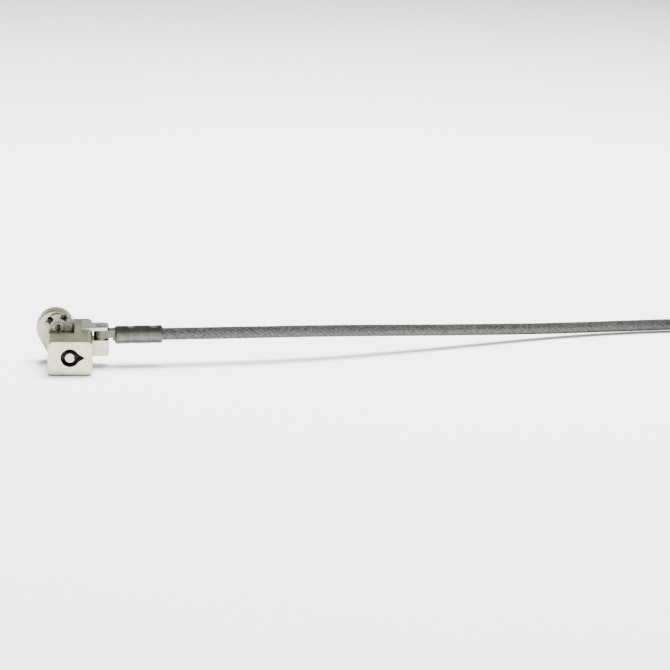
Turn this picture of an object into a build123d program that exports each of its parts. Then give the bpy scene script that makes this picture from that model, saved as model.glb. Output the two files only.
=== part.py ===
from build123d import *
import os
from math import acos, atan2, cos, pi, radians, sin, sqrt, tan

os.makedirs("parts", exist_ok=True)

# Laptop cable lock: a tubular-key barrel turns a T-bar nose through a pair of gears, and a
# hinged link carries a steel cable that ends in a swaged loop.
# Millimetres. +Z is up, +Y points at the computer, X runs along the computer's side.
# The origin is the middle of the barrel's flat underside.

# barrel and nose housing
body_width = 12.5
body_depth = 18.5
front_height = 10.2
rear_height = 11.9
long_edge_round = 1.5
front_edge_round = 0.5
front_y = -body_depth / 2
rear_y = body_depth / 2

# gear pair that links the key axis to the nose axis, one turn to one
gear_module = 0.5
gear_teeth = 13
gear_spacing = gear_module * gear_teeth
gear_width = 1.6
gear_front_y = 5.8
gear_addendum = 0.4
gear_dedendum = 0.6
gear_backlash = 0.05
pressure_angle = radians(20)
chamber_radius = 3.85
chamber_front_y = 5.6

# key axis and nose axis, both parallel to Y
key_z = 5.2
nose_x = -3.4
nose_z = key_z + sqrt(gear_spacing**2 - nose_x**2)

# round nose collar that bears on the computer
collar_x = -4.3
collar_z = 9.95
collar_radius = 5.45
collar_front_y = 4.8
collar_round = 0.45
web_outline = [(-9.2, 7.6), (-6.25, 2.0), (-3.0, 2.0), (-3.0, 9.0)]

# sloping relief that uncovers the spindle drum
ramp_front_y = -4.0
ramp_rear_z = 9.2
ramp_right_x = 1.2
drum_radius = 4.0
drum_width = 1.0
drum_front_y = 3.7
drum_pocket_radius = 4.3
drum_pocket_y = 3.1
drum_notch_angles = [60, 139]
drum_notch_width = 1.9
drum_notch_depth = 1.5
drum_round = 0.2
sight_hole_circle = 3.2
sight_hole_radius = 0.85

# tubular cylinder
keyway_radius = 2.6
keyway_depth = 4.0
notch_root_x = 2.0
notch_reach = 4.0
notch_root_half = 1.4
notch_tip_half = 0.15
bore_radius = 3.6
plug_radius = 3.52
plug_front_y = front_y + keyway_depth + 0.05
plug_rear_y = -3.0
shaft_radius = 1.2
shaft_rear_y = 7.5
post_radius = 1.4
post_tail_radius = 0.9
post_recess = 0.1
post_round = 0.2
post_notch_depth = 0.35
post_notch_height = 0.6
pin_count = 7
pin_circle = 2.0
pin_radius = 0.43
pin_hole_radius = 0.48
key_cuts = [0.3, 0.9, 0.5, 1.1, 0.7, 0.4, 1.0]
sleeve_front_y = -2.95
sleeve_rear_y = 1.4
sleeve_bore_radius = 1.25
driver_length = 1.4
spring_rear_y = 0.65
spring_wire = 0.08
spring_radius = 0.3
spring_turns = 5
cross_pin_radius = 0.5
cross_pin_tip_radius = 0.3
cross_pin_y = 1.05
cross_hole_depth = 3.4
clip_radius = 2.1
clip_width = 0.5
clip_gap = 0.1
clip_mouth = 1.2
groove_depth = 0.3

# rear cover and its fasteners
cover_width = 1.6
cover_front_y = rear_y - cover_width
screw_places = [(4.6, 1.8), (-4.6, 1.8), (4.6, 8.9)]
screw_radius = 0.8
screw_head_radius = 1.45
screw_length = 5.2
socket_radius = 0.55
socket_depth = 0.8

# T-bar nose for a 3 mm by 7 mm security slot
spindle_radius = 1.5
running_gap = 0.05
neck_radius = 1.4
neck_length = 2.2
bar_width = 2.8
bar_length = 6.4
bar_depth = 1.8
bar_chamfer = 0.35
guard_pin_radius = 0.7
guard_pin_offset = 2.45
guard_pin_length = 2.0
guard_pin_chamfer = 0.2
eyelet_radius = 1.6
eyelet_width = 0.5
eyelet_round = 0.3
driver_slot_length = 2.2
driver_slot_width = 1.0
driver_slot_depth = 2.0

# cable anchor: two ears, a hinge pin, a link and its ferrule
hinge_x = 8.7
hinge_y = 2.0
hinge_pin_radius = 1.0
pin_head_radius = 1.5
pin_head_height = 0.35
pin_head_round = 0.3
ear_half_width = 2.9
ear_right_x = 10.9
ear_corner = 1.6
ear_root_x = 5.0
lower_ear_z = (3.5, 8.0)
upper_ear_z = (10.9, 12.0)
upper_ear_left_x = 3.2
upper_ear_rear_y = 7.4
upper_ear_tab_x = 6.1
upper_ear_round = 0.25
ear_seat = 20.0
rivet_places = [(4.7, 0.2), (4.7, 6.1)]
rivet_radius = 0.7
rivet_depth = 1.0
washer_width = 0.3
washer_radius = 2.0
tang_z = (8.4, 10.6)
tang_width = 3.4
eye_radius = 2.15
eye_gap = 0.06
link_angle = 4
link_z = 8.9
shank_radius = 1.7
shank_end = 9.0
shank_overlap = 0.6
ferrule_start = 3.9
ferrule_end = 17.5
ferrule_radius = 2.6
ferrule_chamfer = 0.35
crimp_places = [8.6, 14.9]
crimp_tool_radius = 2.4
crimp_depth = 0.4
crimp_tool_half = 5.0

# cable
cable_diameter = 3.6
cable_radius = cable_diameter / 2
strap_width = 0.6
turn_pitch = 3.7
layer_pitch = 3.45
coil_centre = (212.0, 16.5)
coil_inner_turn = 16.1
coil_turn_columns = 3.5
coil_layers = 4
coil_bottom = strap_width
coil_top = coil_bottom + cable_diameter + (coil_layers - 1) * layer_pitch
coil_inner_radius = coil_inner_turn - cable_radius
coil_outer_radius = coil_inner_turn + (coil_turn_columns - 1) * turn_pitch + cable_radius
coil_round = 3.4
strap_start = radians(-30)
strap_sweep = 24

# swaged loop at the far end
sleeve_end_x = 284.0
loop_y = 23.05
loop_z = 2.2
leg_offset = 1.95
swage_length = 18.0
swage_width = 8.4
swage_socket = 7.0
loop_half_width = 18.0
loop_centre = 38.0
loop_neck = 9.0
loop_flare = 30.0


def across(y):
    # plane at depth y whose sketch axes are X and Z; a positive extrusion runs towards -Y
    return Plane.XZ.offset(-y)


def corner_radii(points):
    # largest smooth arc at each corner: 0.45 of the shorter run over tan(half the turn)
    route = [Vector(p) for p in points]
    runs = [b - a for a, b in zip(route, route[1:])]
    radii = []
    for before, after in zip(runs, runs[1:]):
        half_turn = radians(before.get_angle(after)) / 2
        shorter = min(before.length, after.length)
        radii.append(0.45 * shorter / tan(half_turn))
    return radii


def cord_tube(points, label):
    # round tube of the cable's diameter along straight runs joined by tangent arcs
    radii = corner_radii(points)
    with BuildPart() as tube:
        with BuildLine() as path:
            FilletPolyline(*points, radius=radii)
        with BuildSketch(Plane(origin=path.line @ 0, z_dir=path.line % 0)):
            Circle(cable_radius)
        sweep()
    length = path.wires()[0].length
    print(label, "length", round(length, 2), "radii", [round(r, 1) for r in radii])
    print(label, "volume ratio", round(tube.part.volume / (pi * cable_radius**2 * length), 4))
    return tube.part


def gear_outline(first_tooth_angle):
    # points of one gear's edge: four on each involute flank, from root to tip
    pitch_radius = gear_spacing / 2
    base_radius = pitch_radius * cos(pressure_angle)
    radii = [
        pitch_radius - gear_dedendum,
        base_radius,
        pitch_radius,
        pitch_radius + gear_addendum,
    ]
    half_tooth = pi / (2 * gear_teeth) - gear_backlash / pitch_radius
    pitch_involute = tan(pressure_angle) - pressure_angle
    flank = []
    for radius in radii:
        roll = acos(min(1.0, base_radius / radius))
        flank.append((radius, half_tooth + pitch_involute - (tan(roll) - roll)))
    points = []
    for tooth in range(gear_teeth):
        middle = first_tooth_angle + tooth * 2 * pi / gear_teeth
        for radius, half_angle in flank:
            points.append((radius * cos(middle - half_angle), radius * sin(middle - half_angle)))
        for radius, half_angle in reversed(flank):
            points.append((radius * cos(middle + half_angle), radius * sin(middle + half_angle)))
    return points


def top_height(y):
    # height of the housing's sloping top at depth y
    return front_height + (rear_height - front_height) * (y - front_y) / body_depth


pin_angles = [90 + k * 360 / pin_count for k in range(pin_count)]
pin_spots = [
    (pin_circle * cos(radians(a)), key_z + pin_circle * sin(radians(a))) for a in pin_angles
]
sight_holes = [
    (nose_x + sight_hole_circle * cos(radians(a)), nose_z + sight_hole_circle * sin(radians(a)))
    for a in drum_notch_angles
]
centre_line_angle = atan2(nose_z - key_z, nose_x)

# ---- outer form shared by the housing and its rear cover ----
with BuildPart() as collar:
    with BuildSketch(across(rear_y)):
        with Locations((collar_x, collar_z)):
            Circle(collar_radius)
    extrude(amount=rear_y - collar_front_y)
    fillet(collar.edges().sort_by(Axis.Y)[0], radius=collar_round)

with BuildPart() as outer_form:
    with BuildSketch(Plane.YZ.offset(-body_width / 2)):
        Polygon(
            (front_y, 0),
            (rear_y, 0),
            (rear_y, rear_height),
            (front_y, front_height),
            align=None,
        )
    extrude(amount=body_width)
    fillet(outer_form.edges().filter_by(lambda e: e.length > body_depth - 0.1), long_edge_round)
    fillet(outer_form.faces().sort_by(Axis.Y)[0].edges(), front_edge_round)
    # web that blends the collar into the barrel's left wall
    with BuildSketch(across(rear_y)):
        Polygon(*web_outline, align=None)
    extrude(amount=rear_y - collar_front_y - collar_round)
    # relief in front of the nose drum, sloping down towards the computer
    with BuildSketch(Plane.YZ.offset(-body_width)):
        Polygon(
            (ramp_front_y, top_height(ramp_front_y)),
            (collar_front_y, ramp_rear_z),
            (collar_front_y, 2 * rear_height),
            (ramp_front_y, 2 * rear_height),
            align=None,
        )
    extrude(amount=body_width + ramp_right_x, mode=Mode.SUBTRACT)
    add(collar.part)

# ---- housing: barrel, nose collar and lower ear in one casting ----
with BuildPart() as housing:
    add(outer_form.part)
    split(bisect_by=across(cover_front_y), keep=Keep.TOP)
    # lower ear of the cable hinge
    with BuildSketch(Plane.XY.offset(lower_ear_z[0])) as lower_ear:
        with Locations(((ear_right_x + ear_root_x) / 2, hinge_y)):
            Rectangle(ear_right_x - ear_root_x, 2 * ear_half_width)
        fillet(lower_ear.vertices().group_by(Axis.X)[-1], ear_corner)
    extrude(amount=lower_ear_z[1] - lower_ear_z[0])
    # annular keyway mouth with its notch, then the cylinder bore behind it
    with BuildSketch(across(front_y)):
        with Locations((0, key_z)):
            Circle(keyway_radius)
        Polygon(
            (notch_root_x, key_z - notch_root_half),
            (notch_reach, key_z - notch_tip_half),
            (notch_reach, key_z + notch_tip_half),
            (notch_root_x, key_z + notch_root_half),
            align=None,
        )
    extrude(amount=-keyway_depth, mode=Mode.SUBTRACT)
    with BuildSketch(across(front_y + keyway_depth)):
        with Locations((0, key_z)):
            Circle(bore_radius)
    extrude(amount=-(chamber_front_y - front_y - keyway_depth), mode=Mode.SUBTRACT)
    # gear chamber behind the bore and the collar wall
    with BuildSketch(across(chamber_front_y)):
        with Locations((0, key_z), (nose_x, nose_z)):
            Circle(chamber_radius)
    extrude(amount=-(cover_front_y - chamber_front_y), mode=Mode.SUBTRACT)
    # pocket for the drum and the spindle's front bearing
    with BuildSketch(across(drum_pocket_y)):
        with Locations((nose_x, nose_z)):
            Circle(drum_pocket_radius)
    extrude(amount=-(collar_front_y - drum_pocket_y), mode=Mode.SUBTRACT)
    with BuildSketch(across(drum_pocket_y)):
        with Locations((nose_x, nose_z)):
            Circle(spindle_radius + running_gap)
    extrude(amount=-(chamber_front_y - drum_pocket_y), mode=Mode.SUBTRACT)
    # two sight holes behind the drum's notches, open into the gear chamber
    with BuildSketch(across(collar_front_y)):
        with Locations(*sight_holes):
            Circle(sight_hole_radius)
    extrude(amount=-(chamber_front_y - collar_front_y), mode=Mode.SUBTRACT)
    # flat seat for the upper ear, its rivet holes and the hinge pin hole
    with BuildSketch(Plane.XY.offset(upper_ear_z[0])):
        with Locations((upper_ear_left_x + ear_seat / 2, hinge_y - ear_half_width + ear_seat / 2)):
            Rectangle(ear_seat, ear_seat)
    extrude(amount=ear_seat, mode=Mode.SUBTRACT)
    with BuildSketch(Plane.XY.offset(upper_ear_z[0])):
        with Locations(*rivet_places):
            Circle(rivet_radius)
    extrude(amount=-rivet_depth, mode=Mode.SUBTRACT)
    with BuildSketch(Plane.XY.offset(lower_ear_z[0])):
        with Locations((hinge_x, hinge_y)):
            Circle(hinge_pin_radius)
    extrude(amount=lower_ear_z[1] - lower_ear_z[0], mode=Mode.SUBTRACT)
    # threaded holes for the cover screws and the cross pin's hole
    with BuildSketch(across(cover_front_y)):
        with Locations(*screw_places):
            Circle(screw_radius)
    extrude(amount=screw_length - cover_width, mode=Mode.SUBTRACT)
    with BuildSketch(Plane.YZ.offset(-body_width / 2)):
        with Locations((cross_pin_y, key_z)):
            Circle(cross_pin_radius)
    extrude(amount=cross_hole_depth, mode=Mode.SUBTRACT)
housing.part.label = "housing"
export_step(housing.part, "parts/housing.step")

# ---- rear cover ----
with BuildPart() as rear_cover:
    add(outer_form.part)
    split(bisect_by=across(cover_front_y), keep=Keep.BOTTOM)
    with BuildSketch(across(rear_y)):
        with Locations((nose_x, nose_z)):
            Circle(spindle_radius + running_gap)
        with Locations((nose_x - guard_pin_offset, nose_z), (nose_x + guard_pin_offset, nose_z)):
            Circle(guard_pin_radius)
        with Locations(*screw_places):
            Circle(screw_radius)
    extrude(amount=cover_width, mode=Mode.SUBTRACT)
    for place in screw_places:
        with BuildSketch(across(rear_y)):
            with Locations(place):
                Circle(screw_head_radius)
        with BuildSketch(across(rear_y - screw_head_radius + screw_radius)):
            with Locations(place):
                Circle(screw_radius)
        loft(mode=Mode.SUBTRACT)
rear_cover.part.label = "rear_cover"
export_step(rear_cover.part, "parts/rear_cover.step")

# ---- cover screws: three countersunk screws with hexagon sockets ----
with BuildPart() as cover_screws:
    with BuildSketch(across(rear_y)):
        with Locations(*screw_places):
            Circle(screw_radius)
    extrude(amount=screw_length)
    for place in screw_places:
        with BuildSketch(across(rear_y)):
            with Locations(place):
                Circle(screw_head_radius)
        with BuildSketch(across(rear_y - screw_head_radius + screw_radius)):
            with Locations(place):
                Circle(screw_radius)
        loft()
    with BuildSketch(across(rear_y)):
        with Locations(*screw_places):
            RegularPolygon(socket_radius, 6)
    extrude(amount=socket_depth, mode=Mode.SUBTRACT)
cover_screws.part.label = "cover_screws"
export_step(cover_screws.part, "parts/cover_screws.step")

# ---- guard pins: they fill the slot beside the neck ----
with BuildPart() as guard_pins:
    with BuildSketch(across(rear_y + guard_pin_length)):
        with Locations((nose_x - guard_pin_offset, nose_z), (nose_x + guard_pin_offset, nose_z)):
            Circle(guard_pin_radius)
    extrude(amount=guard_pin_length + cover_width)
    chamfer(guard_pins.edges().group_by(Axis.Y)[-1], guard_pin_chamfer)
guard_pins.part.label = "guard_pins"
export_step(guard_pins.part, "parts/guard_pins.step")

# ---- upper ear: a stamped plate riveted on the housing's top ----
with BuildPart() as upper_ear:
    with BuildSketch(Plane.XY.offset(upper_ear_z[0])) as plate:
        with Locations(((ear_right_x + upper_ear_left_x) / 2, hinge_y)):
            Rectangle(ear_right_x - upper_ear_left_x, 2 * ear_half_width)
        fillet(plate.vertices().group_by(Axis.X)[-1], ear_corner)
        with Locations(((upper_ear_tab_x + upper_ear_left_x) / 2, (upper_ear_rear_y + hinge_y) / 2)):
            Rectangle(upper_ear_tab_x - upper_ear_left_x, upper_ear_rear_y - hinge_y)
        with Locations(*rivet_places):
            Circle(rivet_radius, mode=Mode.SUBTRACT)
        with Locations((hinge_x, hinge_y)):
            Circle(hinge_pin_radius, mode=Mode.SUBTRACT)
    extrude(amount=upper_ear_z[1] - upper_ear_z[0])
    fillet(upper_ear.faces().sort_by(Axis.Z)[-1].outer_wire().edges(), upper_ear_round)
upper_ear.part.label = "upper_ear"
export_step(upper_ear.part, "parts/upper_ear.step")

# ---- ear rivets ----
with BuildPart() as ear_rivets:
    with BuildSketch(Plane.XY.offset(upper_ear_z[0] - rivet_depth)):
        with Locations(*rivet_places):
            Circle(rivet_radius)
    extrude(amount=upper_ear_z[1] - upper_ear_z[0] + rivet_depth)
ear_rivets.part.label = "ear_rivets"
export_step(ear_rivets.part, "parts/ear_rivets.step")

# ---- hinge pin, with a low riveted head on the upper ear ----
with BuildPart() as hinge_pin:
    with BuildSketch(Plane.XY.offset(lower_ear_z[0])):
        with Locations((hinge_x, hinge_y)):
            Circle(hinge_pin_radius)
    extrude(amount=upper_ear_z[1] - lower_ear_z[0])
    with BuildSketch(Plane.XY.offset(upper_ear_z[1])):
        with Locations((hinge_x, hinge_y)):
            Circle(pin_head_radius)
    extrude(amount=pin_head_height)
    fillet(hinge_pin.edges().sort_by(Axis.Z)[-1], pin_head_round)
hinge_pin.part.label = "hinge_pin"
export_step(hinge_pin.part, "parts/hinge_pin.step")

# ---- hinge washers, one on each ear ----
with BuildPart() as hinge_washers:
    for bottom in (lower_ear_z[1], upper_ear_z[0] - washer_width):
        with BuildSketch(Plane.XY.offset(bottom)):
            with Locations((hinge_x, hinge_y)):
                Circle(washer_radius)
                Circle(hinge_pin_radius, mode=Mode.SUBTRACT)
        extrude(amount=washer_width)
hinge_washers.part.label = "hinge_washers"
export_step(hinge_washers.part, "parts/hinge_washers.step")

# ---- driver sleeve: fixed half of the tubular cylinder ----
with BuildPart() as driver_sleeve:
    with BuildSketch(across(sleeve_rear_y)):
        with Locations((0, key_z)):
            Circle(bore_radius)
            Circle(sleeve_bore_radius, mode=Mode.SUBTRACT)
    extrude(amount=sleeve_rear_y - sleeve_front_y)
    with BuildSketch(across(sleeve_front_y)):
        with Locations(*pin_spots):
            Circle(pin_hole_radius)
    extrude(amount=-(spring_rear_y + running_gap - sleeve_front_y), mode=Mode.SUBTRACT)
    with BuildSketch(Plane.YZ.offset(-body_width / 2)):
        with Locations((cross_pin_y, key_z)):
            Circle(cross_pin_tip_radius)
    extrude(amount=cross_hole_depth, mode=Mode.SUBTRACT)
driver_sleeve.part.label = "driver_sleeve"
export_step(driver_sleeve.part, "parts/driver_sleeve.step")

# ---- cross pin that locks the sleeve in the housing, stepped where it enters the sleeve ----
with BuildPart() as cross_pin:
    with BuildSketch(Plane.YZ.offset(-body_width / 2)):
        with Locations((cross_pin_y, key_z)):
            Circle(cross_pin_radius)
    extrude(amount=body_width / 2 - bore_radius - running_gap)
    with BuildSketch(Plane.YZ.offset(-body_width / 2)):
        with Locations((cross_pin_y, key_z)):
            Circle(cross_pin_tip_radius)
    extrude(amount=cross_hole_depth - running_gap)
cross_pin.part.label = "cross_pin"
export_step(cross_pin.part, "parts/cross_pin.step")

# ---- driver pins ----
with BuildPart() as driver_pins:
    with BuildSketch(across(sleeve_front_y)):
        with Locations(*pin_spots):
            Circle(pin_radius)
    extrude(amount=-driver_length)
driver_pins.part.label = "driver_pins"
export_step(driver_pins.part, "parts/driver_pins.step")

# ---- pin springs ----
spring_front_y = sleeve_front_y + driver_length
spring_height = spring_rear_y - spring_front_y - 2 * spring_wire
with BuildPart() as one_spring:
    with BuildLine() as spring_line:
        Helix(pitch=spring_height / spring_turns, height=spring_height, radius=spring_radius, direction=(0, 1, 0))
    with BuildSketch(Plane(origin=spring_line.line @ 0, z_dir=spring_line.line % 0)):
        Circle(spring_wire)
    sweep(is_frenet=True)
with BuildPart() as pin_springs:
    for spot in pin_spots:
        add(Pos(spot[0], spring_front_y + spring_wire, spot[1]) * one_spring.part)
pin_springs.part.label = "pin_springs"
export_step(pin_springs.part, "parts/pin_springs.step")

# ---- key plug: flange with the pin holes, and the shaft that carries the drive gear ----
with BuildPart() as key_plug:
    with BuildSketch(across(plug_rear_y)):
        with Locations((0, key_z)):
            Circle(plug_radius)
            Circle(post_tail_radius, mode=Mode.SUBTRACT)
        with Locations(*pin_spots):
            Circle(pin_hole_radius, mode=Mode.SUBTRACT)
    extrude(amount=plug_rear_y - plug_front_y)
    with BuildSketch(across(shaft_rear_y)):
        with Locations((0, key_z)):
            Circle(shaft_radius)
    extrude(amount=shaft_rear_y - plug_rear_y)
    with BuildSketch(across(sleeve_rear_y + clip_gap + clip_width)):
        with Locations((0, key_z)):
            Circle(shaft_radius)
            Circle(shaft_radius - groove_depth, mode=Mode.SUBTRACT)
    extrude(amount=clip_width, mode=Mode.SUBTRACT)
key_plug.part.label = "key_plug"
export_step(key_plug.part, "parts/key_plug.step")

# ---- centre post of the keyway, with the notch that the key drives ----
with BuildPart() as centre_post:
    with BuildSketch(across(plug_front_y)):
        with Locations((0, key_z)):
            Circle(post_radius)
    extrude(amount=plug_front_y - front_y - post_recess)
    fillet(centre_post.edges().sort_by(Axis.Y)[0], post_round)
    with BuildSketch(across(plug_front_y)):
        with Locations((post_radius, key_z)):
            Rectangle(2 * post_notch_depth, post_notch_height)
    extrude(amount=keyway_depth, mode=Mode.SUBTRACT)
    with BuildSketch(across(plug_front_y)):
        with Locations((0, key_z)):
            Circle(post_tail_radius)
    extrude(amount=-(plug_rear_y - plug_front_y))
centre_post.part.label = "centre_post"
export_step(centre_post.part, "parts/centre_post.step")

# ---- key pins, each as long as its cut on the key ----
with BuildPart() as key_pins:
    for spot, cut in zip(pin_spots, key_cuts):
        with BuildSketch(across(plug_rear_y)):
            with Locations(spot):
                Circle(pin_radius)
        extrude(amount=plug_rear_y - plug_front_y + cut)
key_pins.part.label = "key_pins"
export_step(key_pins.part, "parts/key_pins.step")

# ---- drive gear on the plug's shaft ----
with BuildPart() as drive_gear:
    with BuildSketch(across(gear_front_y)):
        with Locations((0, key_z)):
            Polygon(*gear_outline(centre_line_angle), align=None)
            Circle(shaft_radius, mode=Mode.SUBTRACT)
    extrude(amount=-gear_width)
drive_gear.part.label = "drive_gear"
export_step(drive_gear.part, "parts/drive_gear.step")

# ---- clip that keeps the plug in the sleeve ----
with BuildPart() as plug_clip:
    with BuildSketch(across(sleeve_rear_y + clip_gap + clip_width)):
        with Locations((0, key_z)):
            Circle(clip_radius)
            Circle(shaft_radius - groove_depth, mode=Mode.SUBTRACT)
        with Locations((0, key_z - clip_radius)):
            Rectangle(clip_mouth, 2 * clip_radius, mode=Mode.SUBTRACT)
    extrude(amount=clip_width)
plug_clip.part.label = "plug_clip"
export_step(plug_clip.part, "parts/plug_clip.step")

# ---- driven gear on the T-bar spindle, half a tooth out so that the pair meshes ----
with BuildPart() as driven_gear:
    with BuildSketch(across(gear_front_y)):
        with Locations((nose_x, nose_z)):
            Polygon(*gear_outline(centre_line_angle + pi + pi / gear_teeth), align=None)
            Circle(spindle_radius, mode=Mode.SUBTRACT)
    extrude(amount=-gear_width)
driven_gear.part.label = "driven_gear"
export_step(driven_gear.part, "parts/driven_gear.step")

# ---- T-bar spindle ----
bar_front_y = rear_y + neck_length
with BuildPart() as t_bar_spindle:
    with BuildSketch(across(rear_y - running_gap)):
        with Locations((nose_x, nose_z)):
            Circle(spindle_radius)
    extrude(amount=rear_y - running_gap - drum_front_y)
    with BuildSketch(across(bar_front_y)):
        with Locations((nose_x, nose_z)):
            Circle(neck_radius)
    extrude(amount=neck_length + running_gap)
    with BuildSketch(across(bar_front_y + bar_depth)) as bar:
        with Locations((nose_x, nose_z)):
            Rectangle(bar_width, bar_length)
            Circle(bar_length / 2, mode=Mode.INTERSECT)
    extrude(amount=bar_depth)
    chamfer(t_bar_spindle.faces().sort_by(Axis.Y)[-1].edges(), bar_chamfer)
    with BuildSketch(across(drum_front_y)):
        with Locations((nose_x, nose_z)):
            SlotOverall(driver_slot_length, driver_slot_width, rotation=90)
    extrude(amount=-driver_slot_depth, mode=Mode.SUBTRACT)
t_bar_spindle.part.label = "t_bar_spindle"
export_step(t_bar_spindle.part, "parts/t_bar_spindle.step")

# ---- drum on the spindle's front end, with two rim notches ----
with BuildPart() as spindle_drum:
    with BuildSketch(across(drum_front_y)):
        with Locations((nose_x, nose_z)):
            Circle(drum_radius)
            Circle(spindle_radius, mode=Mode.SUBTRACT)
        for notch_angle in drum_notch_angles:
            notch_x = nose_x + drum_radius * cos(radians(notch_angle))
            notch_z = nose_z + drum_radius * sin(radians(notch_angle))
            with Locations(Location((notch_x, notch_z, 0), (0, 0, notch_angle))):
                Rectangle(2 * drum_notch_depth, drum_notch_width, mode=Mode.SUBTRACT)
    extrude(amount=-drum_width)
    fillet(spindle_drum.faces().sort_by(Axis.Y)[0].outer_wire().edges(), drum_round)
spindle_drum.part.label = "spindle_drum"
export_step(spindle_drum.part, "parts/spindle_drum.step")

# ---- eyelet that rivets the drum to the spindle ----
with BuildPart() as drum_eyelet:
    with BuildSketch(across(drum_front_y)):
        with Locations((nose_x, nose_z)):
            Circle(eyelet_radius)
    extrude(amount=eyelet_width)
    fillet(drum_eyelet.edges().sort_by(Axis.Y)[0], eyelet_round)
    with BuildSketch(across(drum_front_y)):
        with Locations((nose_x, nose_z)):
            SlotOverall(driver_slot_length, driver_slot_width, rotation=90)
    extrude(amount=eyelet_width, mode=Mode.SUBTRACT)
drum_eyelet.part.label = "drum_eyelet"
export_step(drum_eyelet.part, "parts/drum_eyelet.step")

# ---- link between the hinge and the cable, pointing a little towards the computer ----
pull = Vector(cos(radians(link_angle)), sin(radians(link_angle)), 0)
hinge_point = Vector(hinge_x, hinge_y, 0)


def flat_along_pull(z):
    return Plane(origin=hinge_point + Vector(0, 0, z), x_dir=pull, z_dir=(0, 0, 1))


def square_to_pull(distance):
    return Plane(origin=hinge_point + pull * distance + Vector(0, 0, link_z), z_dir=pull)


with BuildPart() as hinge_link:
    with BuildSketch(flat_along_pull(tang_z[0])):
        Circle(eye_radius)
        with Locations((ferrule_start / 2, 0)):
            Rectangle(ferrule_start, tang_width)
    extrude(amount=tang_z[1] - tang_z[0])
    with BuildSketch(square_to_pull(ferrule_start - shank_overlap)):
        Circle(shank_radius)
    extrude(amount=shank_end - ferrule_start + shank_overlap)
    with BuildSketch(flat_along_pull(tang_z[0])):
        Circle(hinge_pin_radius + eye_gap)
    extrude(amount=tang_z[1] - tang_z[0], mode=Mode.SUBTRACT)
hinge_link.part.label = "hinge_link"
export_step(hinge_link.part, "parts/hinge_link.step")

# ---- ferrule crimped on the link's shank and the cable ----
with BuildPart() as ferrule:
    with BuildSketch(square_to_pull(ferrule_start)):
        Circle(ferrule_radius)
    extrude(amount=ferrule_end - ferrule_start)
    chamfer(ferrule.edges().filter_by(GeomType.CIRCLE), ferrule_chamfer)
    with BuildSketch(square_to_pull(ferrule_start)):
        Circle(shank_radius)
    extrude(amount=shank_end - ferrule_start, mode=Mode.SUBTRACT)
    with BuildSketch(square_to_pull(shank_end)):
        Circle(cable_radius)
    extrude(amount=ferrule_end - shank_end, mode=Mode.SUBTRACT)
    for place in crimp_places:
        for side in (1, -1):
            dent_z = link_z + side * (ferrule_radius + crimp_tool_radius - crimp_depth)
            dent_centre = hinge_point + pull * place + Vector(0, 0, dent_z)
            side_ways = Vector(-pull.Y, pull.X, 0)
            with BuildSketch(Plane(origin=dent_centre, x_dir=pull, z_dir=side_ways)):
                Circle(crimp_tool_radius)
            extrude(amount=crimp_tool_half, both=True, mode=Mode.SUBTRACT)
ferrule.part.label = "ferrule"
export_step(ferrule.part, "parts/ferrule.step")

# ---- cable from the ferrule to the coil: level at the lock, then down to the table ----
cable_start = hinge_point + pull * shank_end + Vector(0, 0, link_z)
cable_points = [
    (cable_start.X, cable_start.Y, link_z),
    (46.0, hinge_y + (46.0 - hinge_x) * tan(radians(link_angle)), link_z),
    (78.0, 10.6, 7.9),
    (112.0, 20.6, 5.4),
    (146.0, 31.9, 2.8),
    (176.0, 38.4, 2.1),
    (200.0, 40.0, 2.4),
]
cable = cord_tube(cable_points, "cable")
cable.label = "cable"
export_step(cable, "parts/cable.step")

# ---- coil: the outer shape of the wound turns ----
with BuildPart() as cable_coil:
    with BuildSketch(Plane.XZ.offset(-coil_centre[1])) as coil_section:
        with Locations(
            (
                coil_centre[0] + (coil_inner_radius + coil_outer_radius) / 2,
                (coil_bottom + coil_top) / 2,
            )
        ):
            Rectangle(coil_outer_radius - coil_inner_radius, coil_top - coil_bottom)
        fillet(coil_section.vertices(), coil_round)
    revolve(axis=Axis((coil_centre[0], coil_centre[1], 0), (0, 0, 1)))
cable_coil.part.label = "cable_coil"
export_step(cable_coil.part, "parts/cable_coil.step")

# ---- strap round the coil ----
with BuildPart() as coil_strap:
    strap_plane = Plane(
        origin=(coil_centre[0], coil_centre[1], 0),
        x_dir=(cos(strap_start), sin(strap_start), 0),
        z_dir=(-sin(strap_start), cos(strap_start), 0),
    )
    with BuildSketch(strap_plane) as strap_section:
        with Locations(
            ((coil_inner_radius + coil_outer_radius) / 2, -(coil_bottom + coil_top) / 2)
        ):
            RectangleRounded(
                coil_outer_radius - coil_inner_radius + 2 * strap_width,
                coil_top - coil_bottom + 2 * strap_width,
                coil_round + strap_width,
            )
            RectangleRounded(
                coil_outer_radius - coil_inner_radius,
                coil_top - coil_bottom,
                coil_round,
                mode=Mode.SUBTRACT,
            )
    revolve(axis=Axis((coil_centre[0], coil_centre[1], 0), (0, 0, 1)), revolution_arc=strap_sweep)
coil_strap.part.label = "coil_strap"
export_step(coil_strap.part, "parts/coil_strap.step")

# ---- cable tail from the top of the coil down to the swaged sleeve ----
tail_points = [
    (224.0, 37.9, 12.6),
    (238.5, 36.2, 11.2),
    (253.0, 31.6, 6.6),
    (265.5, 26.9, 3.0),
    (276.5, loop_y + leg_offset, loop_z),
    (sleeve_end_x + swage_socket, loop_y + leg_offset, loop_z),
]
cable_tail = cord_tube(tail_points, "cable_tail")
cable_tail.label = "cable_tail"
export_step(cable_tail, "parts/cable_tail.step")

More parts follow.
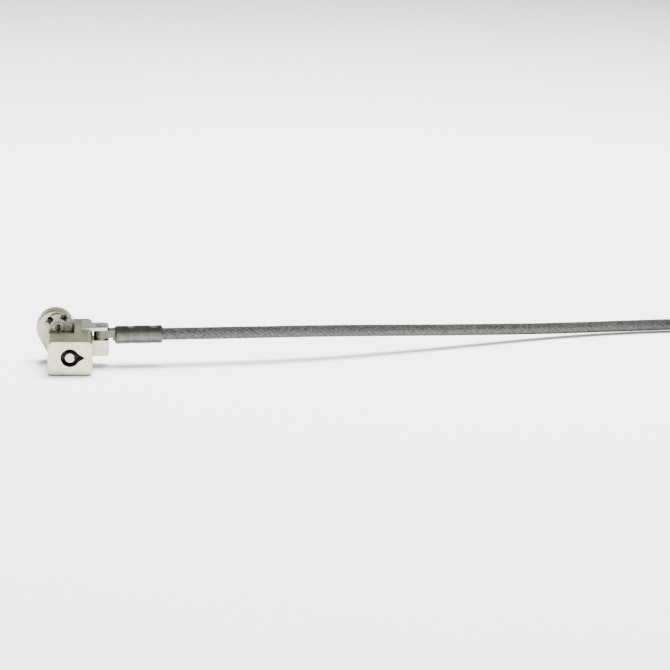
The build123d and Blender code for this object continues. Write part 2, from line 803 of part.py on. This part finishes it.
# ---- swaged sleeve ----
swage_far_x = sleeve_end_x + swage_length
with BuildPart() as loop_sleeve:
    with BuildSketch(Plane.YZ.offset(sleeve_end_x)):
        with Locations((loop_y, loop_z)):
            RectangleRounded(swage_width, 2 * loop_z, loop_z - 0.05)
    extrude(amount=swage_length)
    with BuildSketch(Plane.YZ.offset(sleeve_end_x)):
        with Locations((loop_y + leg_offset, loop_z)):
            Circle(cable_radius)
    extrude(amount=swage_socket, mode=Mode.SUBTRACT)
    with BuildSketch(Plane.YZ.offset(swage_far_x - swage_socket)):
        with Locations((loop_y + leg_offset, loop_z), (loop_y - leg_offset, loop_z)):
            Circle(cable_radius)
    extrude(amount=swage_socket, mode=Mode.SUBTRACT)
loop_sleeve.part.label = "loop_sleeve"
export_step(loop_sleeve.part, "parts/loop_sleeve.step")

# ---- end loop ----
loop_middle_x = swage_far_x + loop_centre
loop_corner = loop_half_width * tan(radians(30))
loop_tip = loop_half_width / cos(radians(30))
half_loop = [
    (swage_far_x - swage_socket, leg_offset),
    (swage_far_x + loop_neck, leg_offset),
    (swage_far_x + loop_flare, loop_half_width),
    (loop_middle_x + loop_corner, loop_half_width),
]
loop_points = [(x, loop_y + v, loop_z) for x, v in half_loop]
loop_points += [(loop_middle_x + loop_tip, loop_y, loop_z)]
loop_points += [(x, loop_y - v, loop_z) for x, v in reversed(half_loop)]
end_loop = cord_tube(loop_points, "end_loop")
end_loop.label = "end_loop"
export_step(end_loop, "parts/end_loop.step")
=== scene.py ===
import math
import bpy
import bmesh
from mathutils import Matrix, Vector


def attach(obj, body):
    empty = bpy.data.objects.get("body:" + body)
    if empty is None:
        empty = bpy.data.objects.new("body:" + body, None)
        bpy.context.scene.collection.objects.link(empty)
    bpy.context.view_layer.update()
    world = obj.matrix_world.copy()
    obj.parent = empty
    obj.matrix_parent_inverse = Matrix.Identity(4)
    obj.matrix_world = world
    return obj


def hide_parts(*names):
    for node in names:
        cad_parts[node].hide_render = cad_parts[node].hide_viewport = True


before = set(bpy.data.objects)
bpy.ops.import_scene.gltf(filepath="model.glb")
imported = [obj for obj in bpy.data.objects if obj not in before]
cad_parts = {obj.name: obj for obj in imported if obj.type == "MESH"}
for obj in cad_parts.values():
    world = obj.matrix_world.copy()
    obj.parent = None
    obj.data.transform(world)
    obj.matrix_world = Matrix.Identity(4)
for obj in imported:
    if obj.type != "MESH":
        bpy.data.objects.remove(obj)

scene = bpy.context.scene
mm = 0.001
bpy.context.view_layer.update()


def spot(x, y, z):
    return Vector((x * mm, y * mm, z * mm))


print("camera")
cameraSetup = {
    "place": spot(10.8, -547.3, 155.6),
    "aim": spot(76.4, 4.8, 8.1),
    "roll": math.radians(1.67),
    "lens": 106.0,
    "sensor": 36.0,
    "near": 0.01,
    "far": 20.0,
}


def makeCamera(s):
    data = bpy.data.cameras.new("camera")
    data.lens = s["lens"]
    data.sensor_width = s["sensor"]
    data.clip_start = s["near"]
    data.clip_end = s["far"]
    camera = bpy.data.objects.new("camera", data)
    scene.collection.objects.link(camera)
    look = (s["aim"] - s["place"]).to_track_quat("-Z", "Y").to_matrix()
    turn = Matrix.Rotation(s["roll"], 3, "Z")
    camera.matrix_world = Matrix.Translation(s["place"]) @ (look @ turn).to_4x4()
    scene.camera = camera


makeCamera(cameraSetup)


def addMesh(name, verts, faces, smooth=True):
    mesh = bpy.data.meshes.new(name)
    mesh.from_pydata([tuple(v) for v in verts], [], faces)
    mesh.update()
    made = bpy.data.objects.new(name, mesh)
    scene.collection.objects.link(made)
    if smooth:
        mesh.shade_smooth()
    return made


curveSteps = 6  # line pieces between control points


def smoothCurve(name, points):
    data = bpy.data.curves.new(name, "CURVE")
    data.dimensions = "3D"
    data.resolution_u = curveSteps
    spline = data.splines.new("NURBS")
    spline.points.add(len(points) - 1)
    for cp, p in zip(spline.points, points):
        cp.co = (p.x, p.y, p.z, 1.0)
    spline.order_u = 3
    spline.use_endpoint_u = True
    made = bpy.data.objects.new(name, data)
    scene.collection.objects.link(made)
    return made


def curveLine(points):
    # the smooth line that the control points give, as a list of points
    guide = smoothCurve("guideLine", points)
    bpy.context.view_layer.update()
    mesh = bpy.data.meshes.new_from_object(guide)
    line = [v.co.copy() for v in mesh.vertices]
    bpy.data.meshes.remove(mesh)
    data = guide.data
    bpy.data.objects.remove(guide)
    bpy.data.curves.remove(data)
    return line


def evenSteps(line, step):
    # points and directions at equal steps along a line, and its length
    total = sum((b - a).length for a, b in zip(line, line[1:]))
    count = max(2, round(total / step))
    places = []
    ways = []
    walked = 0.0
    part = 0
    for k in range(count + 1):
        goal = total * k / count
        while part < len(line) - 2 and walked + (line[part + 1] - line[part]).length < goal:
            walked += (line[part + 1] - line[part]).length
            part += 1
        run = line[part + 1] - line[part]
        places.append(line[part] + run * min(1.0, (goal - walked) / run.length))
    for k in range(count + 1):
        ways.append((places[min(k + 1, count)] - places[max(k - 1, 0)]).normalized())
    return places, ways, total


print("cable")
ropeSetup = {
    "diameter": 3.6 * mm,
    "strands": 12,
    "pointsPerStrand": 3,
    "lay": 21.0 * mm,
    "ring": 1.0 * mm,
}

# the hinged link that the cable starts from, and distances along it
hingeX = 8.7
hingeY = 2.0
linkZ = 8.9
linkAngle = math.radians(4)
shankEnd = 9.0


def alongLink(distance):
    x = hingeX + distance * math.cos(linkAngle)
    y = hingeY + distance * math.sin(linkAngle)
    return spot(x, y, linkZ)


frontRoute = [
    alongLink(shankEnd),
    spot(46.0, hingeY + (46.0 - hingeX) * math.tan(linkAngle), linkZ),
    spot(78.0, 10.6, 7.9),
    spot(112.0, 20.6, 5.4),
    spot(146.0, 31.9, 2.8),
    spot(176.0, 38.4, 2.1),
    spot(200.0, 40.0, 2.4),
]

coilSetup = {
    "centre": (212.0, 16.5),
    "turns": 11,
    "columns": 3,
    "innerRadius": 16.1,
    "pitch": 3.7,
    "layer": 3.45,
    "bottom": 2.4,
    "start": math.radians(90),
    "pointsPerTurn": 16,
    "crossing": 0.25,
}


def turnPlace(turn, s):
    # radius and height of one turn: odd layers sit in the grooves of the layer below
    layer, column = divmod(turn, s["columns"])
    if layer % 2:
        radius = s["innerRadius"] + s["pitch"] * (column + 0.5)
    else:
        radius = s["innerRadius"] + s["pitch"] * (s["columns"] - 1 - column)
    return radius, s["bottom"] + layer * s["layer"]


def coilRoute(s):
    points = []
    for turn in range(s["turns"]):
        here = turnPlace(turn, s)
        after = turnPlace(turn + 1, s) if turn + 1 < s["turns"] else here
        for k in range(s["pointsPerTurn"]):
            part = k / s["pointsPerTurn"]
            mix = max(0.0, (part - 1 + s["crossing"]) / s["crossing"])
            mix = mix * mix * (3 - 2 * mix)
            radius = here[0] + (after[0] - here[0]) * mix
            height = here[1] + (after[1] - here[1]) * mix
            angle = s["start"] - 2 * math.pi * part
            x = s["centre"][0] + radius * math.cos(angle)
            y = s["centre"][1] + radius * math.sin(angle)
            points.append(spot(x, y, height))
    points.append(spot(s["centre"][0], s["centre"][1] + here[0], here[1]))
    return points


sleeveSetup = {"x": 284.0, "y": 23.05, "z": 2.2, "length": 18.0, "socket": 7.0, "legOffset": 1.95}
tailRoute = [
    spot(224.0, 37.9, 12.6),
    spot(238.5, 36.2, 11.2),
    spot(253.0, 31.6, 6.6),
    spot(265.5, 26.9, 3.0),
    spot(276.5, sleeveSetup["y"] + sleeveSetup["legOffset"], sleeveSetup["z"]),
]
loopSetup = {"halfWidth": 18.0, "centre": 38.0, "flareX": 30.0, "neckX": 9.0, "tipAngle": math.radians(30)}


def loopRoute(s, sleeve):
    farX = sleeve["x"] + sleeve["length"]
    cornerX = farX + s["centre"] + s["halfWidth"] * math.tan(s["tipAngle"])
    tipX = farX + s["centre"] + s["halfWidth"] / math.cos(s["tipAngle"])
    side = [
        (farX - sleeve["socket"], sleeve["legOffset"]),
        (farX + s["neckX"], sleeve["legOffset"]),
        (farX + s["flareX"], s["halfWidth"]),
        (cornerX, s["halfWidth"]),
    ]
    middle, height = sleeve["y"], sleeve["z"]
    points = [spot(x, middle + v, height) for x, v in side]
    points.append(spot(tipX, middle, height))
    points += [spot(x, middle - v, height) for x, v in reversed(side)]
    return points


def ropeMesh(name, points, s):
    # a tube whose section is a ring of round strands that turn along the line
    line = curveLine(points)
    places, ways, total = evenSteps(line, s["ring"])
    outer = s["diameter"] / 2
    half = math.pi / s["strands"]
    strand = outer * math.sin(half) / (1 + math.sin(half))
    centre = outer - strand
    section = []
    for k in range(s["strands"]):
        for j in range(s["pointsPerStrand"]):
            off = half * (2 * j / s["pointsPerStrand"] - 1)
            rise = math.sqrt(max(0.0, strand**2 - (centre * math.sin(off)) ** 2))
            reach = centre * math.cos(off) + rise
            section.append((2 * half * k + off, reach))
    side = ways[0].orthogonal().normalized()
    verts = []
    walked = 0.0
    for k, (place, way) in enumerate(zip(places, ways)):
        side = (side - way * side.dot(way)).normalized()
        other = way.cross(side)
        if k:
            walked += (place - places[k - 1]).length
        turn = 2 * math.pi * walked / s["lay"]
        for angle, reach in section:
            out = math.cos(angle + turn) * side + math.sin(angle + turn) * other
            verts.append(place + reach * out)
    n = len(section)
    faces = []
    for k in range(len(places) - 1):
        for j in range(n):
            a = k * n + j
            b = k * n + (j + 1) % n
            faces.append((a, b, b + n, a + n))
    faces.append(tuple(reversed(range(n))))
    faces.append(tuple(range((len(places) - 1) * n, len(places) * n)))
    return addMesh(name, verts, faces), line, total


cableRoute = frontRoute + coilRoute(coilSetup) + tailRoute + loopRoute(loopSetup, sleeveSetup)
cableRope, cableLine, cableLength = ropeMesh("cableRope", cableRoute, ropeSetup)
print("cable length", round(cableLength, 4))

print("strap")
strapSetup = {
    "start": math.radians(-29.6),
    "sweep": math.radians(23.2),
    "inner": (14.3, 27.15, 0.6, 14.55),
    "round": 3.4,
    "thick": 0.5,
    "steps": 14,
    "cornerSteps": 6,
    "slack": 0.04,
    "footSlack": 0.02,
    "edgeTaper": 0.12,
    "edgeShare": 6,
}


def roundedLoop(x0, x1, z0, z1, r, steps):
    points = []
    corners = [
        (x1 - r, z1 - r, 0),
        (x0 + r, z1 - r, 90),
        (x0 + r, z0 + r, 180),
        (x1 - r, z0 + r, 270),
    ]
    for cx, cz, first in corners:
        for k in range(steps + 1):
            a = math.radians(first + 90 * k / steps)
            points.append((cx + r * math.cos(a), cz + r * math.sin(a)))
    return points


def makeStrap(s):
    x0, x1, z0, z1 = s["inner"]
    t = s["thick"]
    slack, foot, steps = s["slack"], s["footSlack"], s["cornerSteps"]
    inside = roundedLoop(x0 - slack, x1 + slack, z0 - foot, z1 + slack, s["round"], steps)
    outside = roundedLoop(x0 - t, x1 + t, z0 - t, z1 + t, s["round"] + t, steps)
    n = len(outside)
    verts = []
    for k in range(s["steps"] + 1):
        part = k / s["steps"]
        a = s["start"] + s["sweep"] * part
        rim = s["edgeTaper"] * (1 - min(1.0, s["edgeShare"] * min(part, 1 - part)))
        for (xi, zi), (xo, zo) in zip(inside, outside):
            xo2 = xo + (xi - xo) * rim
            zo2 = zo + (zi - zo) * rim
            for r, z in ((xi, zi), (xo2, zo2)):
                x = coilSetup["centre"][0] + r * math.cos(a)
                y = coilSetup["centre"][1] + r * math.sin(a)
                verts.append(spot(x, y, z))
    faces = []
    row = 2 * n
    for k in range(s["steps"]):
        for j in range(n):
            a = k * row + 2 * j
            b = k * row + 2 * ((j + 1) % n)
            faces.append((a, a + row, b + row, b))
            faces.append((a + 1, b + 1, b + 1 + row, a + 1 + row))
    for k, flip in ((0, False), (s["steps"], True)):
        for j in range(n):
            a = k * row + 2 * j
            b = k * row + 2 * ((j + 1) % n)
            quad = (a, b, b + 1, a + 1)
            faces.append(tuple(reversed(quad)) if flip else quad)
    strap = addMesh("coilStrap", verts, faces)
    bm = bmesh.new()
    bm.from_mesh(strap.data)
    bmesh.ops.recalc_face_normals(bm, faces=bm.faces)
    bm.to_mesh(strap.data)
    bm.free()
    return strap


coilStrap = makeStrap(strapSetup)

for piece in (cableRope, coilStrap):
    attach(piece, "cable")
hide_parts("cable", "cable_coil", "cable_tail", "end_loop")
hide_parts("coil_strap")


print("materials")


def newMaterial(name):
    material = bpy.data.materials.new(name)
    material.use_nodes = True
    return material, material.node_tree.nodes, material.node_tree.links


def addNode(nodes, kind, **values):
    node = nodes.new(kind)
    for key, value in values.items():
        if key in node.inputs:
            node.inputs[key].default_value = value
        else:
            setattr(node, key, value)
    return node


metalSetup = {
    "tintRange": (0.32, 0.68),
    # painted shade: where the colour starts and stops darkening towards the rear
    "rearShadeRange": (3.0 * mm, 5.0 * mm),
    # painted shade: range, colour, reach and amount of the darkening painted into gaps and inner corners
    "gapRange": (0.25, 0.75),
    "paintedGapShadeColour": (0.03, 0.027, 0.022, 1.0),
    "paintedGapShadeReach": 1.6 * mm,
    "paintedGapShade": 0.8,
    "streaksPerCloud": 3.3,
    "bumpDepth": 0.00005,
}


def metalMaterial(s):
    # plated or machined metal: mottled colour and gloss, fine grain, soft scratches
    material, nodes, links = newMaterial(s["name"])
    shader = nodes["Principled BSDF"]
    shader.inputs["Metallic"].default_value = s.get("metallic", 1.0)
    place = addNode(nodes, "ShaderNodeTexCoord")
    cloud = addNode(nodes, "ShaderNodeTexNoise", Scale=s["cloudScale"], Detail=4.0, Roughness=0.6)
    links.new(place.outputs["Object"], cloud.inputs["Vector"])
    tint = addNode(nodes, "ShaderNodeValToRGB")
    tint.color_ramp.elements[0].position = metalSetup["tintRange"][0]
    tint.color_ramp.elements[0].color = s["dark"] + (1.0,)
    tint.color_ramp.elements[1].position = metalSetup["tintRange"][1]
    tint.color_ramp.elements[1].color = s["light"] + (1.0,)
    links.new(cloud.outputs["Fac"], tint.inputs["Fac"])
    # painted shade: the colour darkens towards the rear, the side facing the computer
    sides = addNode(nodes, "ShaderNodeSeparateXYZ")
    links.new(place.outputs["Object"], sides.inputs["Vector"])
    rearShadeFactor = addNode(nodes, "ShaderNodeMapRange")
    rearShadeFactor.inputs["From Min"].default_value = metalSetup["rearShadeRange"][0]
    rearShadeFactor.inputs["From Max"].default_value = metalSetup["rearShadeRange"][1]
    rearShadeFactor.inputs["To Min"].default_value = 1.0
    rearShadeFactor.inputs["To Max"].default_value = s.get("paintedRearShade", 1.0)
    links.new(sides.outputs["Y"], rearShadeFactor.inputs["Value"])
    rearShadedTint = addNode(nodes, "ShaderNodeVectorMath", operation="SCALE")
    links.new(tint.outputs["Color"], rearShadedTint.inputs[0])
    links.new(rearShadeFactor.outputs["Result"], rearShadedTint.inputs["Scale"])
    # painted shade: darkening in narrow gaps and inner corners, from ambient occlusion
    gaps = addNode(nodes, "ShaderNodeAmbientOcclusion", samples=6, Distance=metalSetup["paintedGapShadeReach"])
    paintedGapShade = addNode(nodes, "ShaderNodeMapRange")
    paintedGapShade.inputs["From Min"].default_value = metalSetup["gapRange"][0]
    paintedGapShade.inputs["From Max"].default_value = metalSetup["gapRange"][1]
    paintedGapShade.inputs["To Min"].default_value = s.get("paintedGapShade", metalSetup["paintedGapShade"])
    paintedGapShade.inputs["To Max"].default_value = 0.0
    links.new(gaps.outputs["AO"], paintedGapShade.inputs["Value"])
    gapShaded = addNode(nodes, "ShaderNodeMixRGB", Color2=metalSetup["paintedGapShadeColour"])
    links.new(paintedGapShade.outputs["Result"], gapShaded.inputs["Fac"])
    links.new(rearShadedTint.outputs["Vector"], gapShaded.inputs["Color1"])
    links.new(gapShaded.outputs["Color"], shader.inputs["Base Color"])
    gloss = addNode(nodes, "ShaderNodeMapRange")
    gloss.inputs["To Min"].default_value = s["roughness"][0]
    gloss.inputs["To Max"].default_value = s["roughness"][1]
    streakScale = s["cloudScale"] * metalSetup["streaksPerCloud"]
    streak = addNode(nodes, "ShaderNodeTexNoise", Scale=streakScale, Detail=5.0)
    links.new(place.outputs["Object"], streak.inputs["Vector"])
    links.new(streak.outputs["Fac"], gloss.inputs["Value"])
    links.new(gloss.outputs["Result"], shader.inputs["Roughness"])
    stretch = addNode(nodes, "ShaderNodeMapping")
    stretch.inputs["Scale"].default_value = s.get("stretch", (1.0, 1.0, 1.0))
    links.new(place.outputs["Object"], stretch.inputs["Vector"])
    grain = addNode(nodes, "ShaderNodeTexNoise", Scale=s["grainScale"], Detail=3.0)
    links.new(stretch.outputs["Vector"], grain.inputs["Vector"])
    bump = addNode(nodes, "ShaderNodeBump", Strength=s["bump"], Distance=metalSetup["bumpDepth"])
    links.new(grain.outputs["Fac"], bump.inputs["Height"])
    links.new(bump.outputs["Normal"], shader.inputs["Normal"])
    return material


satinNickel = metalMaterial({
    "name": "satinNickel", "dark": (0.43, 0.41, 0.30), "light": (0.55, 0.527, 0.40),
    "roughness": (0.26, 0.42), "cloudScale": 260.0, "grainScale": 5200.0, "bump": 0.4,
    # painted shade: this nickel darkens towards the rear and in gaps and corners
    "paintedRearShade": 0.76, "paintedGapShade": 0.5,
})
# painted shade: a darker copy of the nickel, so the drum looks shaded
drumNickelPaintedShade = metalMaterial({
    "name": "drumNickelPaintedShade", "dark": (0.30, 0.295, 0.262), "light": (0.385, 0.377, 0.335),
    "roughness": (0.3, 0.45), "cloudScale": 500.0, "grainScale": 5200.0, "bump": 0.4,
})
brightNickel = metalMaterial({
    "name": "brightNickel", "dark": (0.40, 0.388, 0.335), "light": (0.50, 0.485, 0.42),
    "roughness": (0.20, 0.34), "cloudScale": 300.0, "grainScale": 4200.0, "bump": 0.2,
})
hardenedSteel = metalMaterial({
    "name": "hardenedSteel", "dark": (0.36, 0.36, 0.36), "light": (0.52, 0.52, 0.51),
    "roughness": (0.24, 0.4), "cloudScale": 420.0, "grainScale": 6500.0, "bump": 0.3,
    "stretch": (1.0, 0.15, 1.0),
})
springSteel = metalMaterial({
    "name": "springSteel", "dark": (0.22, 0.22, 0.23), "light": (0.36, 0.36, 0.37),
    "roughness": (0.25, 0.4), "cloudScale": 900.0, "grainScale": 9000.0, "bump": 0.2,
})
turnedBrass = metalMaterial({
    "name": "turnedBrass", "dark": (0.52, 0.38, 0.17), "light": (0.70, 0.54, 0.27),
    "roughness": (0.25, 0.42), "cloudScale": 420.0, "grainScale": 7000.0, "bump": 0.3,
    "stretch": (1.0, 8.0, 1.0),
})
# painted shade: key plug and pins coloured near-black, standing in for the shade inside the keyway
keywayShadeBlack = metalMaterial({
    "name": "keywayShadeBlack", "dark": (0.012, 0.010, 0.007), "light": (0.045, 0.038, 0.026),
    "roughness": (0.4, 0.6), "cloudScale": 600.0, "grainScale": 7000.0, "bump": 0.4,
    "metallic": 0.6,
})
sinteredSteel = metalMaterial({
    "name": "sinteredSteel", "dark": (0.15, 0.15, 0.16), "light": (0.27, 0.27, 0.28),
    "roughness": (0.42, 0.62), "cloudScale": 700.0, "grainScale": 9000.0, "bump": 0.6,
})
# painted reflection: nickel coloured near-black, standing in for the dark surroundings that the ferrule
# and link reflect
darkReflectionNickel = metalMaterial({
    "name": "darkReflectionNickel", "dark": (0.08, 0.078, 0.066), "light": (0.14, 0.137, 0.117),
    "roughness": (0.28, 0.42), "cloudScale": 330.0, "grainScale": 5200.0, "bump": 0.35,
    "stretch": (0.25, 1.0, 1.0),
})
swageAluminium = metalMaterial({
    "name": "swageAluminium", "dark": (0.55, 0.55, 0.55), "light": (0.70, 0.70, 0.69),
    "roughness": (0.3, 0.5), "cloudScale": 240.0, "grainScale": 4200.0, "bump": 0.5,
    "stretch": (0.2, 1.0, 1.0),
})
wireRope = metalMaterial({
    "name": "wireRope", "dark": (0.02, 0.02, 0.017), "light": (0.105, 0.103, 0.091),
    "roughness": (0.28, 0.5), "cloudScale": 1300.0, "grainScale": 6000.0, "bump": 0.8,
    # painted shade: the last value sets the shade painted between the strands
    "metallic": 0.45, "paintedGapShade": 0.5,
})
wireCoat = {"Coat Weight": 0.35, "Coat Roughness": 0.2}
wireShader = wireRope.node_tree.nodes["Principled BSDF"]
for socket, amount in wireCoat.items():
    wireShader.inputs[socket].default_value = amount


def fabricMaterial(s):
    # woven strap: two crossing wave patterns under a soft fuzz
    material, nodes, links = newMaterial(s["name"])
    shader = nodes["Principled BSDF"]
    shader.inputs["Roughness"].default_value = s["roughness"]
    shader.inputs["Sheen Weight"].default_value = s["sheen"]
    shader.inputs["Specular IOR Level"].default_value = s["specular"]
    place = addNode(nodes, "ShaderNodeTexCoord")
    waves = []
    for direction in ("X", "Z"):
        wave = addNode(nodes, "ShaderNodeTexWave", Scale=s["threads"], Distortion=s["unevenness"])
        wave.bands_direction = direction
        links.new(place.outputs["Object"], wave.inputs["Vector"])
        waves.append(wave)
    weave = addNode(nodes, "ShaderNodeMath", operation="MAXIMUM")
    links.new(waves[0].outputs["Fac"], weave.inputs[0])
    links.new(waves[1].outputs["Fac"], weave.inputs[1])
    tint = addNode(nodes, "ShaderNodeValToRGB")
    tint.color_ramp.elements[0].color = s["dark"] + (1.0,)
    tint.color_ramp.elements[1].color = s["light"] + (1.0,)
    links.new(weave.outputs["Value"], tint.inputs["Fac"])
    links.new(tint.outputs["Color"], shader.inputs["Base Color"])
    bump = addNode(nodes, "ShaderNodeBump", Strength=s["bump"], Distance=s["bumpDepth"])
    links.new(weave.outputs["Value"], bump.inputs["Height"])
    links.new(bump.outputs["Normal"], shader.inputs["Normal"])
    return material


strapFabric = fabricMaterial({
    "name": "strapFabric", "dark": (0.006, 0.006, 0.007), "light": (0.026, 0.026, 0.029),
    "threads": 420.0, "unevenness": 0.6, "roughness": 0.92, "sheen": 0.05, "specular": 0.25,
    "bump": 0.7, "bumpDepth": 0.0002,
})

finishes = {
    satinNickel: ["housing", "rear_cover"],
    drumNickelPaintedShade: ["spindle_drum"],
    brightNickel: ["upper_ear", "ear_rivets", "centre_post", "drum_eyelet"],
    hardenedSteel: [
        "cover_screws", "guard_pins", "hinge_pin", "hinge_washers", "cross_pin", "t_bar_spindle",
    ],
    springSteel: ["pin_springs", "plug_clip"],
    turnedBrass: ["driver_sleeve", "driver_pins"],
    keywayShadeBlack: ["key_plug", "key_pins"],
    sinteredSteel: ["drive_gear", "driven_gear"],
    darkReflectionNickel: ["hinge_link", "ferrule"],
    swageAluminium: ["loop_sleeve"],
}
for material, nodeNames in finishes.items():
    for nodeName in nodeNames:
        data = bpy.data.objects[nodeName].data
        data.materials.clear()
        data.materials.append(material)
cableRope.data.materials.append(wireRope)
coilStrap.data.materials.append(strapFabric)

print("stage")
stageSetup = {
    "half": 4.0, "floorColour": (0.93, 0.93, 0.925, 1.0), "floorRoughness": 0.75,
    "floorSpecular": 0.2, "worldStrength": 1.0,
    "lowColour": (0.95, 0.95, 0.95, 1.0), "highColour": (0.5, 0.5, 0.505, 1.0),
    "brightBelow": 0.33, "dimAbove": 0.9, "dimBehind": 0.04,
}


def makeStage(s):
    h = s["half"]
    corners = [(-h, -h, 0), (h, -h, 0), (h, h, 0), (-h, h, 0)]
    floor = addMesh("floor", corners, [(0, 1, 2, 3)], smooth=False)
    material, nodes, links = newMaterial("paleFloor")
    shader = nodes["Principled BSDF"]
    shader.inputs["Base Color"].default_value = s["floorColour"]
    shader.inputs["Roughness"].default_value = s["floorRoughness"]
    shader.inputs["Specular IOR Level"].default_value = s["floorSpecular"]
    floor.data.materials.append(material)
    # the surroundings: bright low down in front, dim overhead and behind
    world = bpy.data.worlds.new("studio")
    world.use_nodes = True
    nodes, links = world.node_tree.nodes, world.node_tree.links
    place = addNode(nodes, "ShaderNodeTexCoord")
    split = addNode(nodes, "ShaderNodeSeparateXYZ")
    links.new(place.outputs["Generated"], split.inputs["Vector"])
    height = addNode(nodes, "ShaderNodeValToRGB")
    height.color_ramp.elements[0].position = s["brightBelow"]
    height.color_ramp.elements[0].color = s["lowColour"]
    height.color_ramp.elements[1].position = s["dimAbove"]
    height.color_ramp.elements[1].color = s["highColour"]
    tilt = addNode(nodes, "ShaderNodeMath", operation="MULTIPLY_ADD")
    tilt.inputs[1].default_value = s["dimBehind"]
    links.new(split.outputs["Y"], tilt.inputs[0])
    links.new(split.outputs["Z"], tilt.inputs[2])
    links.new(tilt.outputs["Value"], height.inputs["Fac"])
    links.new(height.outputs["Color"], nodes["Background"].inputs["Color"])
    nodes["Background"].inputs["Strength"].default_value = s["worldStrength"]
    scene.world = world


lamps = [
    {"name": "overhead", "place": (0.15, 0.25, 0.95), "aim": (0.08, 0.0, 0.0),
     "size": 0.6, "watts": 56.0, "glossy": False},
    {"name": "front", "place": (0.35, -1.0, 0.36), "aim": (0.0, 0.0, 0.0),
     "size": 0.4, "watts": 2.5},
]


def makeLamp(s):
    data = bpy.data.lights.new(s["name"], "AREA")
    data.shape = "SQUARE"
    data.size = s["size"]
    data.energy = s["watts"]
    lamp = bpy.data.objects.new(s["name"], data)
    scene.collection.objects.link(lamp)
    lamp.location = s["place"]
    look = Vector(s["aim"]) - Vector(s["place"])
    lamp.rotation_euler = look.to_track_quat("-Z", "Y").to_euler()
    lamp.visible_glossy = s.get("glossy", True)


makeStage(stageSetup)
for lamp in lamps:
    makeLamp(lamp)

print("finish")
